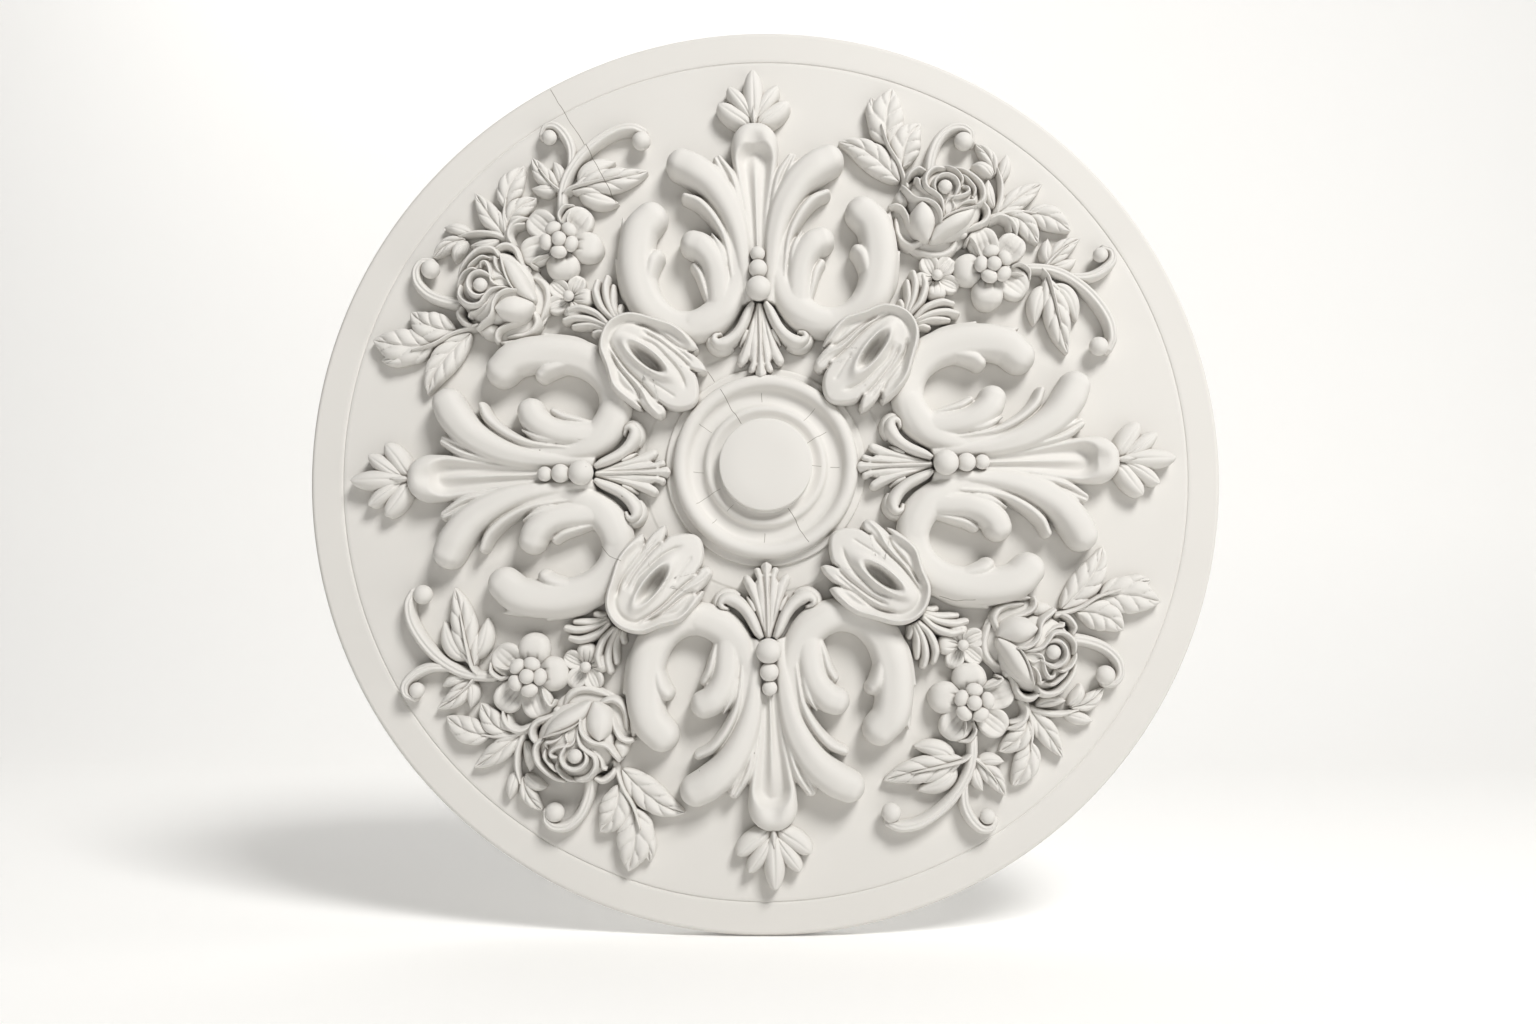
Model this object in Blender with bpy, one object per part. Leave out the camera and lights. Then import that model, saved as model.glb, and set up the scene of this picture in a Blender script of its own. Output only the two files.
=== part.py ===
"""Round carved ceiling rose, one solid plaster casting, upright with its face towards -Y and its back in y = 0.

Every outline below is drawn in millimetres for a rose 760 mm across, with x to the right and z up on the face,
and the whole drawing is scaled by outer_diameter. A quarter of the pattern is drawn once and laid four times.
"""

import math

import bmesh
import bpy
import numpy as np
from mathutils import Matrix

# Driving dimensions, metres
outer_diameter = 0.760
plate_thickness = 0.020
edge_rounding = 0.0035
relief_height = 0.040
boss_diameter = 0.0765
rim_segments = 72
roundel_segments = 40

drawn_diameter = 760.0
mm = outer_diameter / drawn_diameter
lift = relief_height / 0.040
sunk = -3.0

# Fineness: samples along and across a form, the grain of the drawing at which overlapping forms are fused,
# and faces kept
step = 3.0
across = 13
fusing_grain = 1.3
quarter_triangles = 1420

eye_centre = 128
eye_half_width = 9
eye_half_length = 22

# How the hand-set ornament sits on the plate: all of it turned a little to the left and off centre
ornament_shift = (-1.5, 0.0)
arm_turn = 1.6
spray_turn = 1.0

for thing in list(bpy.data.objects):
    bpy.data.objects.remove(thing)


# Cross-sections: how the back of a form is rounded at each place across it, from -1 to 1. Under the rounding a
# straight wall goes down to the plate
wall_share = 0.24


def dome(place):
    return (1 - np.abs(place) ** 2.6) ** 0.5


def ridge(place):
    return (1 - np.abs(place) ** 1.7) ** 0.6


def blade(place):
    """Leaf: two cushions that meet in a midrib hollow, thin at the edge."""
    return (1 - np.abs(place) ** 2.2) ** 0.55 * (1 - 0.16 * np.exp(-(place / 0.16) ** 2))


def cup(place):
    """Petal: hollow along the middle, thick rounded sides."""
    return (1 - np.abs(place) ** 5) ** 0.5 * (0.74 + 0.26 * np.abs(place) ** 1.6)


def flute(place):
    """Tongue: rounded rim, a flute on each side and a rib on the axis."""
    hollow = np.exp(-((np.abs(place) - 0.38) / 0.17) ** 2)
    return (1 - np.abs(place) ** 7) ** 0.5 * (1 - 0.34 * hollow - 0.1 * np.exp(-(place / 0.12) ** 2))


def along_spline(points, amounts, step):
    """Even samples of a smooth curve through the points, with the amounts that belong to them carried along."""
    ctrl = np.column_stack([np.array(points, float), np.array(amounts, float)])
    padded = np.vstack([2 * ctrl[0] - ctrl[1], ctrl, 2 * ctrl[-1] - ctrl[-2]])
    fine = []
    for i in range(len(ctrl) - 1):
        a, b, c, d = padded[i:i + 4]
        t = np.linspace(0, 1, 12, endpoint=False)[:, None]
        fine.append(0.5 * (2 * b + (c - a) * t + (2 * a - 5 * b + 4 * c - d) * t ** 2
                           + (3 * b - a - 3 * c + d) * t ** 3))
    fine = np.vstack(fine + [ctrl[-1:]])
    length = np.concatenate([[0], np.cumsum(np.linalg.norm(np.diff(fine[:, :2], axis=0), axis=1))])
    wanted = np.linspace(0, length[-1], max(5, int(length[-1] / step)))
    return np.column_stack([np.interp(wanted, length, fine[:, i]) for i in range(fine.shape[1])])


def form(points, half, top, section=ridge, blunt=True):
    """A closed form along a spine: half widths and top heights per point, a blunt or pointed far end."""
    amounts = np.column_stack([half, np.broadcast_to(top, (len(points),))])
    line = along_spline(points, amounts, step)
    spot, width, height = line[:, :2], line[:, 2], line[:, 3]
    heading = np.gradient(spot, axis=0)
    heading /= np.linalg.norm(heading, axis=1)[:, None]
    if blunt:
        bend = np.radians([25, 45, 62, 76, 86])
        spot = np.vstack([spot, spot[-1] + heading[-1] * width[-1] * np.sin(bend)[:, None]])
        heading = np.vstack([heading, np.tile(heading[-1], (len(bend), 1))])
        width = np.append(width, width[-1] * np.cos(bend))
        height = np.append(height, height[-1] * np.cos(bend) ** 0.45)
    side = np.column_stack([heading[:, 1], -heading[:, 0]])
    place = np.sin(np.linspace(-math.pi / 2, math.pi / 2, across))
    flat = spot[:, None, :] + side[:, None, :] * (width[:, None] * place)[:, :, None]
    rise = height[:, None] * (wall_share + (1 - wall_share) * section(place))
    rings = np.dstack([flat, rise])
    low = rings[:, [0, -1]].copy()
    low[:, :, 2] = sunk
    rings = np.concatenate([low[:, :1], rings, low[:, 1:]], axis=1)
    start, end = rings[0].mean(axis=0), rings[-1].mean(axis=0)
    return tube(rings, start, end)


def tube(rings, start, end):
    """Skins closed rings of points and closes both ends to one point each."""
    count, size = rings.shape[:2]
    points = np.vstack([rings.reshape(-1, 3), start, end])
    faces = []
    for i in range(count - 1):
        for j in range(size):
            k = (j + 1) % size
            faces.append((i * size + j, i * size + k, (i + 1) * size + k, (i + 1) * size + j))
    for j in range(size):
        k = (j + 1) % size
        faces.append((count * size, k, j))
        faces.append((count * size + 1, (count - 1) * size + j, (count - 1) * size + k))
    return points, faces


def bead(x, z, radius, centre_height):
    """The front half of a ball, with straight sides below it that leave a mould, its centre at the given height."""
    turns = np.linspace(0, 2 * math.pi, 24, endpoint=False)
    rounds = [(radius, sunk)] + [(radius * math.cos(tilt), centre_height + radius * math.sin(tilt))
                                 for tilt in np.radians([0, 25, 46, 64, 80])]
    rings = [[(x + size * math.cos(turn), z + size * math.sin(turn), height) for turn in turns]
             for size, height in rounds]
    return tube(np.array(rings), (x, z, sunk), (x, z, centre_height + radius))


def mirrored(shape):
    points, faces = shape
    return points * (-1, 1, 1), [face[::-1] for face in faces]


def swapped(shape):
    """The same shape on the other side of the diagonal."""
    points, faces = shape
    return points[:, [1, 0, 2]], [face[::-1] for face in faces]


def turned(shape, degrees, shift=(0, 0)):
    """Clockwise on the face, then moved."""
    points, faces = shape
    angle = math.radians(-degrees)
    x, z = points[:, 0], points[:, 1]
    moved = np.column_stack([x * math.cos(angle) - z * math.sin(angle) + shift[0],
                             x * math.sin(angle) + z * math.cos(angle) + shift[1], points[:, 2]])
    return moved, faces


def arm():
    """Scrolled acanthus arm: tongue, finial and beads on the axis, lobes drawn once and mirrored."""
    half = [
        form([(14, 148), (20, 134), (34, 123), (52, 119), (70, 121), (86, 130), (97, 147), (101, 167),
              (101.5, 189), (97.5, 204.5), (89, 214.5)], [7, 11, 13, 14, 14.5, 15, 15.8, 15.8, 15.8, 15.4, 14.6],
             [16, 18, 20, 21, 22, 23, 24, 25, 26, 27, 26], dome),
        form([(44, 122), (38, 138), (36.8, 155), (39, 173), (46.5, 186.5), (57, 195)],
             [12, 12.5, 12, 12, 12, 12], [19, 22, 25, 27, 28, 27], dome),
        form([(49, 146), (48, 160), (51, 170), (56, 175)], [3, 4, 4.5, 4], [14, 16, 17, 15], blade),
        form([(22.5, 150), (23, 172), (27, 195), (36, 212), (47, 225), (58, 232)], [2.5, 3, 3.5, 4.5, 5.5, 5],
             [18, 20, 21, 22, 22, 20], blade),
        form([(11, 146), (11.5, 173), (14, 200), (22.5, 220), (35.5, 241), (50.5, 254), (61.5, 260)],
             [5, 7, 8.5, 11, 13.5, 14.5, 13.5], [18, 22, 24, 26, 28, 29, 27], dome),
        form([(92, 140), (91.5, 155), (90, 168), (86, 178), (84, 181)], [3, 5, 6.5, 7.5, 7],
             [14, 20, 22, 23, 22], ridge),
        form([(13, 215), (17, 235), (23, 252), (31, 263)], [2, 4.5, 7, 4.5], [9, 12, 14, 12], ridge),
        form([(3, 292), (12, 300), (20, 306), (29, 311)], [2, 8, 8, 3], [10, 14, 14, 8], blade, False),
        form([(2, 300), (8, 311), (14, 318), (22, 326)], [2, 7, 8, 3], [11, 16, 15, 8], blade, False),
    ]
    middle = [
        form([(0, 178), (0, 200), (0, 222), (0, 245), (0, 262), (0, 275)], [3.5, 6.5, 10, 14, 17.2, 18.6],
             [14, 16, 18, 20, 22, 22], flute),
        form([(0, 296), (0, 310), (0, 322), (0, 341)], [3, 9, 11, 3], [12, 17, 16, 8], blade, False),
        bead(0, 302, 4.5, 13),
        bead(0, 149.5, 10.5, 23), bead(0, 166.2, 7.8, 21.5), bead(0, 179.2, 6.3, 20),
    ]
    return half + [mirrored(shape) for shape in half] + middle + pendant()


def pendant():
    """Small leaf between the beads and the roundel, with a sprig that curls out on each side."""
    half = [
        form([(5, 139), (9, 127), (14, 116), (21, 106.5), (30, 102), (38, 103), (40.5, 108), (38, 112)],
             [3.5, 5, 5.5, 6, 5.5, 5, 4.5, 3.5], [11, 12, 13, 14, 15, 15, 14, 12], ridge),
        form([(20, 101), (30, 96), (40, 94), (49, 97)], [3, 5, 5, 4], [6, 7, 7, 6], blade),
        form([(3, 127), (9, 112), (14, 100), (18.5, 89)], [2.5, 5, 6, 4], [10, 12, 12, 9], blade),
        form([(2, 112), (5, 98), (8, 88), (10, 81)], [2, 4, 4.5, 3], [10, 12, 12, 10], blade),
    ]
    rib = form([(0, 139), (0, 115), (0, 95), (0, 77)], [1.8, 2.2, 3, 5], [13, 14, 14, 14], blade)
    return half + [mirrored(shape) for shape in half] + [rib]


def tulip():
    """Shell on the diagonal, drawn upright: a smooth rolled shoulder, an almond eye and a pointed inner end."""
    outline = [(76, 2, 14), (83, 11, 21), (95, 18.5, 26), (108, 25.5, 30), (121, 33, 33), (134, 37, 36),
               (146, 34.5, 38), (156, 29, 38), (164, 23, 37), (170, 16, 35), (175, 4.5, 30)]
    u = np.linspace(outline[0][0], outline[-1][0], 40)
    half, top = [np.interp(u, [row[0] for row in outline], [row[i] for row in outline])[:, None] for i in (1, 2)]
    place = np.sin(np.linspace(-math.pi / 2, math.pi / 2, 45))
    v = half * place
    rise = top * (0.45 + 0.55 * (1 - np.abs(place) ** 4) ** 0.5)
    along = u[:, None] - eye_centre
    eye = np.hypot(v / eye_half_width, along / eye_half_length)
    rise = rise + 4 * np.exp(-((eye - 1.15) / 0.35) ** 2) - 17 * np.exp(-(eye / 0.72) ** 4)
    flutes = np.clip((164 - u[:, None]) / 30, 0, 1) * np.clip((np.abs(v) - 13) / 4, 0, 1)
    rise = np.maximum(rise - 2.2 * flutes * (1 + np.cos(2 * math.pi * place / 0.27)) / 2, 0)
    rings = np.dstack([v, np.broadcast_to(u[:, None], v.shape), rise])
    low = rings[:, [0, -1]].copy()
    low[:, :, 2] = sunk
    rings = np.concatenate([low[:, :1], rings, low[:, 1:]], axis=1)
    shell = tube(rings, rings[0].mean(axis=0), rings[-1].mean(axis=0))
    tips = [form([(31, 135), (32, 122), (33, 112), (34, 104)], [6, 6.5, 5.5, 2], [24, 23, 19, 10], ridge, False),
            form([(22, 130), (24, 112), (25.5, 100), (26.5, 89)], [5, 6.5, 6, 2], [27, 25, 20, 9], ridge, False)]
    shapes = [shell] + tips + [mirrored(tip) for tip in tips]
    return [turned(shape, 45) for shape in shapes]


def fans():
    """Two little acanthus fans that come out behind the shell's shoulder."""
    fan = [
        form([(118, 130), (123, 145), (125, 158), (127, 170)], [2.5, 4.5, 5, 2], [16, 18, 16, 10], blade),
        form([(116, 130), (117, 143), (118, 155), (120, 164)], [3, 5, 4.5, 2], [16, 18, 16, 10], blade),
        form([(113, 128), (110, 136), (109, 144)], [3.5, 4.5, 3], [15, 16, 12], blade),
    ]
    return fan + [swapped(shape) for shape in fan]


def flower(centre, petals, reach, inner, half, heights):
    """A ring of cupped petals at the given angles, anticlockwise from the right."""
    shapes = []
    for angle in petals:
        go = np.array([math.cos(math.radians(angle)), math.sin(math.radians(angle))])
        spine = [tuple(np.array(centre) + go * r) for r in (inner, (inner + reach) / 2, reach - half * 0.45)]
        shapes.append(form(spine, [half * 0.55, half * 0.95, half * 0.9], heights, cup))
    return shapes


def ring_of_beads(centre, radius, around, angles, height):
    return [bead(centre[0] + around * math.cos(math.radians(angle)),
                 centre[1] + around * math.sin(math.radians(angle)), radius, height) for angle in angles]


def leaf(points, width, top):
    """A veined leaf from stalk to tip; the veins are too fine for the solid."""
    shape = np.interp(np.linspace(0, 1, len(points)), [0, 0.35, 0.65, 1], [0.25, 0.95, 0.9, 0.12])
    return form(points, width * shape, top, blade, False)


def tendril(points, width, top, ball, ball_radius):
    curl = form(points, np.linspace(width * 0.75, width, len(points)), top)
    return [curl, bead(ball[0], ball[1], ball_radius, top - ball_radius * 0.35)]


def spray():
    """Flower spray that fills the ground between two arms: rose, two flowers, leaves and tendrils."""
    shapes = flower((196, 167), [98, 28, -40, -97, 178], 36, 8, 14, [15, 22, 21])
    shapes += ring_of_beads((196, 167), 6.5, 12, [101, 27, -32, 243, 175], 23)
    shapes += [bead(196, 167, 6.8, 26)]
    shapes += flower((147.5, 156.5), [193, 121, 49, -23, -95], 20.5, 4, 9, [14, 19, 17])
    shapes += [bead(147.5, 156.5, 5, 19)]
    shapes += rose()
    shapes += [
        leaf([(124, 238), (108, 254), (90, 266), (69, 276)], 17, [10, 15, 14, 7]),
        leaf([(121, 245), (124, 262), (131, 277), (140, 292)], 14, [10, 15, 15, 8]),
        leaf([(118, 255), (112, 272), (106, 292), (98, 316)], 13, [8, 12, 13, 7]),
        leaf([(116, 270), (117, 288), (119, 303), (120, 323)], 13, [8, 13, 14, 8]),
        leaf([(203, 228), (207, 242), (211, 252), (214, 263)], 8, [8, 11, 11, 7]),
        leaf([(203, 236), (202, 250), (196, 262), (187, 275)], 7, [9, 12, 12, 7]),
        leaf([(203, 240), (196, 246), (188, 250), (180, 253)], 8, [9, 13, 12, 7]),
        leaf([(198, 215), (196, 224), (194, 233), (193, 242)], 7, [9, 13, 12, 7]),
        leaf([(203, 210), (217, 219), (229, 229), (241, 239)], 10, [9, 14, 14, 7]),
        leaf([(222, 213), (236, 212), (250, 206), (261, 198)], 11, [9, 13, 13, 7]),
        leaf([(205, 208), (217, 206), (227, 199), (235, 189)], 11, [10, 15, 14, 8]),
        leaf([(239, 164), (238, 172), (240, 180), (243, 188)], 8, [9, 12, 11, 7]),
        leaf([(240, 164), (249, 173), (259, 181), (271, 188)], 8, [9, 12, 11, 7]),
        leaf([(243, 163), (251, 166), (259, 168), (268, 169)], 7, [9, 11, 10, 6]),
        leaf([(241, 152), (232, 144), (226, 133), (223, 118)], 12, [10, 13, 12, 7]),
        leaf([(242, 157), (243, 137), (247, 116), (254, 93)], 15, [12, 15, 14, 7]),
        leaf([(245, 152), (254, 147), (261, 135), (267, 118)], 12, [10, 13, 12, 7]),
    ]
    shapes += tendril([(146, 246), (149, 262), (156, 276), (166, 286), (176, 286), (181, 277)], 4.8, 14,
                      (171, 275), 8)
    shapes += tendril([(222, 166), (240, 162), (262, 156), (280, 158), (293, 164), (297, 174), (290, 180)],
                      4.8, 15, (286, 174), 7)
    shapes += tendril([(250, 160), (268, 151), (281, 137), (290, 120), (293, 105), (287, 93)], 5.4, 15,
                      (279, 102), 9)
    return shapes


def rose():
    """Open rose in three-quarter view: a low body, wrapped inner petals round a core, and turned outer petals."""
    shapes = [
        bead(153, 222, 25, 6),
        form([(133, 196), (131, 208), (138, 220), (149, 214)], [5, 9, 9, 6], [20, 30, 31, 26], ridge),
        form([(148, 191), (160, 196), (174, 204), (188, 213)], [5, 8, 7, 4], [20, 28, 29, 22], ridge),
        form([(127, 184), (140, 180), (152, 181), (164, 188)], [3.5, 5, 5, 3], [11, 16, 16, 12], blade),
        form([(135, 190), (124, 196), (118, 208), (114, 218)], [5, 6.5, 6, 4], [14, 19, 22, 20], ridge),
        form([(134, 198), (128, 214), (124, 230), (132, 244)], [4, 6, 7, 6], [20, 24, 26, 24], ridge),
        form([(146, 212), (140, 228), (143, 244), (157, 251), (170, 245)], [4, 6, 6, 6, 5],
             [28, 33, 36, 34, 28], ridge),
        form([(170, 246), (183, 240), (187, 227), (182, 215)], [5, 7, 7, 5], [22, 26, 27, 26], ridge),
        form([(148, 224), (147, 236), (156, 243), (166, 236), (165, 226)], [3.5, 4, 4, 4, 3],
             [33, 38, 40, 38, 33], blade),
        form([(154, 208), (162, 220), (172, 228), (176, 236)], [4, 5.5, 6, 5], [26, 32, 32, 29], ridge),
        bead(156, 232, 5.5, 32),
    ]
    return shapes


def plate():
    """Round plate with a rounded edge and the roundel's mouldings, turned about the axis of the face."""
    radius, thick, soft = outer_diameter / 2, plate_thickness, edge_rounding
    outline = [(0, 0), (radius - 0.001, 0), (radius, 0.001), (radius, thick - soft),
               (radius - soft * 0.3, thick - soft * 0.3), (radius - soft, thick)]
    roundel = [(83.5, 0), (82.5, 3), (78, 4), (76.5, 10), (73, 14.5), (69, 15.5), (65, 13), (62, 8), (56, 8),
               (51.5, 13), (49, 14), (45, 12.5), (41, 8), (38.25, 8), (38.25, 22), (37, 23), (0, 23)]
    scale = boss_diameter / 0.0765
    inner = [(r * mm * scale, thick + h * lift * 0.001) for r, h in roundel]
    body = bpy.data.meshes.new("plate")
    shape = bmesh.new()
    lathe(shape, outline + [(0, thick)], rim_segments)
    lathe(shape, [(0, thick - 0.004), (inner[0][0], thick - 0.004)] + inner, roundel_segments)
    bmesh.ops.recalc_face_normals(shape, faces=shape.faces)
    shape.to_mesh(body)
    shape.free()
    return body


def lathe(shape, outline, segments):
    """Turns an outline of (radius, height) pairs that starts and ends on the axis."""
    rings = []
    for radius, height in outline:
        if radius == 0:
            rings.append([shape.verts.new((0, -height, 0))])
            continue
        turns = np.linspace(0, 2 * math.pi, segments, endpoint=False)
        rings.append([shape.verts.new((radius * math.cos(t), -height, radius * math.sin(t))) for t in turns])
    for low, high in zip(rings, rings[1:]):
        for i in range(segments):
            k = (i + 1) % segments
            corners = [low[i % len(low)], low[k % len(low)], high[k % len(high)], high[i % len(high)]]
            shape.faces.new(list(dict.fromkeys(corners)))


def mesh_of(name, pieces):
    mesh = bpy.data.meshes.new(name)
    shape = bmesh.new()
    for points, faces in pieces:
        verts = [shape.verts.new((x * mm, -plate_thickness - h * lift * 0.001, z * mm)) for x, z, h in points]
        for face in faces:
            shape.faces.new([verts[i] for i in face])
    bmesh.ops.recalc_face_normals(shape, faces=shape.faces)
    shape.to_mesh(mesh)
    shape.free()
    return mesh


def evaluated(thing):
    bpy.context.view_layer.update()
    return bpy.data.meshes.new_from_object(thing.evaluated_get(bpy.context.evaluated_depsgraph_get()))


def fused_quarter():
    """One quarter of the ornament: its overlapping forms made one skin, then thinned to the faces it needs."""
    shapes = [turned(shape, -arm_turn) for shape in arm()]
    shapes += [turned(shape, -spray_turn) for shape in tulip() + fans() + spray()]
    helper = bpy.data.objects.new("quarter", mesh_of("quarter", shapes))
    bpy.context.scene.collection.objects.link(helper)
    fuse = helper.modifiers.new("fuse", "REMESH")
    fuse.mode = "VOXEL"
    fuse.voxel_size = fusing_grain * mm
    soften = helper.modifiers.new("soften", "SMOOTH")
    soften.iterations = 2
    helper.data = evaluated(helper)
    helper.modifiers.clear()
    helper.data.calc_loop_triangles()
    thin = helper.modifiers.new("thin", "DECIMATE")
    thin.use_collapse_triangulate = True
    thin.ratio = quarter_triangles / len(helper.data.loop_triangles)
    mesh = evaluated(helper)
    bpy.data.objects.remove(helper)
    return mesh


def plaster():
    material = bpy.data.materials.new("plaster")
    material.use_nodes = True
    node = material.node_tree.nodes["Principled BSDF"]
    node.inputs["Base Color"].default_value = (0.79, 0.775, 0.745, 1)
    node.inputs["Roughness"].default_value = 0.82
    return material


rose_object = bpy.data.objects.new("ceiling_rose", plate())
rose_object.data.materials.append(plaster())
bpy.context.scene.collection.objects.link(rose_object)

ornament = bpy.data.collections.new("ornament")
bpy.context.scene.collection.children.link(ornament)
ornament.hide_render = True
quarter_mesh = fused_quarter()
for number in range(4):
    mesh = quarter_mesh.copy()
    turn = Matrix.Rotation(math.radians(90 * number), 4, "Y")
    shift = Matrix.Translation((ornament_shift[0] * mm, 0, ornament_shift[1] * mm))
    mesh.transform(shift @ turn)
    quarter = bpy.data.objects.new(f"quarter_{number}", mesh)
    quarter.hide_render = True
    ornament.objects.link(quarter)

join = rose_object.modifiers.new("carving", "BOOLEAN")
join.operation = "UNION"
join.solver = "EXACT"
join.operand_type = "COLLECTION"
join.collection = ornament
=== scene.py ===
import math
import bmesh
import bpy
import numpy as np
from mathutils import Matrix, Vector


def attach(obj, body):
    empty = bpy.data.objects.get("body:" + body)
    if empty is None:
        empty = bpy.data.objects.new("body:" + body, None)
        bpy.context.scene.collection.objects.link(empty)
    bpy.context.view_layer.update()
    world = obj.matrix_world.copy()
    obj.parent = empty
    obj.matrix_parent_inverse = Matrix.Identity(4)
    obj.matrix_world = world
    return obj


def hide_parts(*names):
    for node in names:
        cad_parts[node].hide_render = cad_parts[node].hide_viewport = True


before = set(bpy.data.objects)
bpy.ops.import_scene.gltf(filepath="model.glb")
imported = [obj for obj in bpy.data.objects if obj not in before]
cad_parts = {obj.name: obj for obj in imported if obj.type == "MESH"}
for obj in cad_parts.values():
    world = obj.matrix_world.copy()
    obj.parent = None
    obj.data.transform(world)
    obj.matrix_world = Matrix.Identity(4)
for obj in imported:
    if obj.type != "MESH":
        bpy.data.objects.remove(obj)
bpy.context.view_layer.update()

# Everything is drawn in millimetres on the face: x to the right, z up, height out of the plate
plateFront = 20.0
footDepth = -2.5


def toWorld(points):
    # (x, z, height) in mm on the face to metres in the row's frame
    return np.column_stack([points[:, 0], -plateFront - points[:, 2], points[:, 1]]) * 0.001


def splineThrough(points, amounts, step, spanSteps=24, fewest=8):
    # smooth curve through the points, cut into lengths of about one step; the amounts go along with it. Between
    # two points it is half the sum of the four points around, each weighted by a cubic in t
    control = np.column_stack([np.array(points, float)] + [np.broadcast_to(a, len(points)) for a in amounts])
    padded = np.vstack([2 * control[0] - control[1], control, 2 * control[-1] - control[-2]])
    place = np.arange(0, len(control) - 1, 1 / spanSteps)
    i = place.astype(int)
    t = (place - i)[:, None]
    a, b, c, d = padded[i], padded[i + 1], padded[i + 2], padded[i + 3]
    fine = 0.5 * (2 * b + (c - a) * t + (2 * a - 5 * b + 4 * c - d) * t ** 2 + (3 * b - a - 3 * c + d) * t ** 3)
    fine = np.vstack([fine, control[-1:]])
    run = np.concatenate([[0], np.cumsum(np.hypot(*np.diff(fine[:, :2], axis=0).T))])
    wanted = np.linspace(0, run[-1], max(fewest, int(run[-1] / step)))
    return np.column_stack([np.interp(wanted, run, column) for column in fine.T])


def skinOf(rings, start, end):
    # triangles round closed rings of points, with a point closing each end
    count, size = rings.shape[:2]
    i, j = np.meshgrid(np.arange(count - 1), np.arange(size), indexing="ij")
    k = (j + 1) % size
    a, b, c, d = i * size + j, i * size + k, (i + 1) * size + k, (i + 1) * size + j
    sides = np.stack([a, b, c, a, c, d], axis=-1).reshape(-1, 3)
    j = np.arange(size)
    k = (j + 1) % size
    first = np.column_stack([np.full(size, count * size), k, j])
    last = np.column_stack([np.full(size, count * size + 1), (count - 1) * size + j, (count - 1) * size + k])
    return np.vstack([rings.reshape(-1, 3), start, end]), np.vstack([sides, first, last])


def bell(away, width):
    # 1 where away is 0, and less on both sides: e to the power of minus (away / width) squared
    return np.exp(-(away / width) ** 2)


def held(amount):
    # kept between 0 and 1
    return np.clip(amount, 0, 1)


# Cross-sections. v runs across from -1 to 1, s along from 0 to 1; each gives the share of the form's height
def roll(v, s, power=2.5, edge=0.25):
    # round back with steep sides
    return edge + (1 - edge) * np.sqrt(1 - np.abs(v) ** power)


def pad(v, s):
    # broad back that is almost flat and turns down near the edges
    return 0.3 + 0.7 * (1 - np.abs(v) ** 2.8) ** 0.5


def scroll(v, s):
    # broad lobe: round back, and a shallow hollow along its outer third
    return pad(v, s) - 0.035 * bell(v + 0.3, 0.25) * np.sin(math.pi * held(s))


def rib(v, s):
    # half round stem or fold
    return roll(v, s, 2.0, 0.2)


# Side grooves of the leaves: slant, offset on the right and on the left, depth, height at the edge, edge's draw
veining = {"slant": 0.9, "offsets": (0.3, 0.75), "depth": 0.2, "edge": 0.5, "scallop": 0.05}


def veinWave(veins, v, s):
    # 0 on a side groove and 1 half way between two
    phase = veins * s - veining["slant"] * np.abs(v) + np.where(v > 0, *veining["offsets"])
    return np.abs(np.sin(math.pi * phase))


def veined(veins):
    # leaf: a valley down the middle, and slanting grooves that part raised cushions on both sides of it
    depth = veining["depth"]

    def section(v, s):
        groove = 1 - veinWave(veins, v, s) ** 0.34
        fade = held(np.abs(v) / 0.2) * held((1 - s) / 0.15) * held(s / 0.2)
        middle = 0.75 * bell(v, 0.07) + 0.55 * bell(v, 0.32)
        back = roll(v, s, 3.2, veining["edge"])
        return back - depth * middle * held((1 - s) / 0.1) - depth * groove * fade
    return section


def fluted(depth):
    # stroke with a groove along its middle that fades at both ends
    def section(v, s):
        fade = np.sin(math.pi * held(s * 0.9 + 0.05)) ** 0.5
        return roll(v, s, 2.6, 0.35) - depth * bell(v, 0.22) * fade
    return section


def cupped(v, s, depth=0.34, edge=0.5):
    # hollow petal: thick rounded rim, floor that rises to it at the end, creases that spread from the heart
    floor = 1 - depth * (1 - np.abs(v) ** 2.6) * held((1.02 - s) / 0.5) ** 0.8
    crease = bell(np.abs(v) - 0.36, 0.07) + 0.6 * bell(v, 0.06)
    crease = 0.06 * crease * held((0.86 - s) / 0.3)
    return (edge + (1 - edge) * (1 - np.abs(v) ** 5) ** 0.5) * floor - crease


def leafOutline(width, fullness=0.7, belly=0.85, least=0.35):
    # half width of a leaf: widest a little before the middle, round towards both ends
    def half(s):
        return np.maximum(width * np.sin(math.pi * s ** belly) ** fullness, least)
    return half


def nearestOn(places, points):
    # how far each place is from a smooth line, and its share of the way along the line
    line = splineThrough(points, (0,), 0.5)
    gap = np.hypot(places[..., None, 0] - line[:, 0], places[..., None, 1] - line[:, 1])
    return gap.min(axis=-1), gap.argmin(axis=-1) / (len(line) - 1)


def scallops(veins):
    # how far a leaf's edge draws in where a side groove runs out
    def pull(v, s):
        return veining["scallop"] * (1 - veinWave(veins, v, s)) ** 2 * np.abs(v) ** 6
    return pull


# A blunt end goes on round a quarter circle, and the walls under the edges draw in a little towards the plate
carving = {"endRows": 10, "endAngle": 87.0, "endHeight": 0.3, "wallRows": 5, "evenShare": 0.45}


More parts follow.
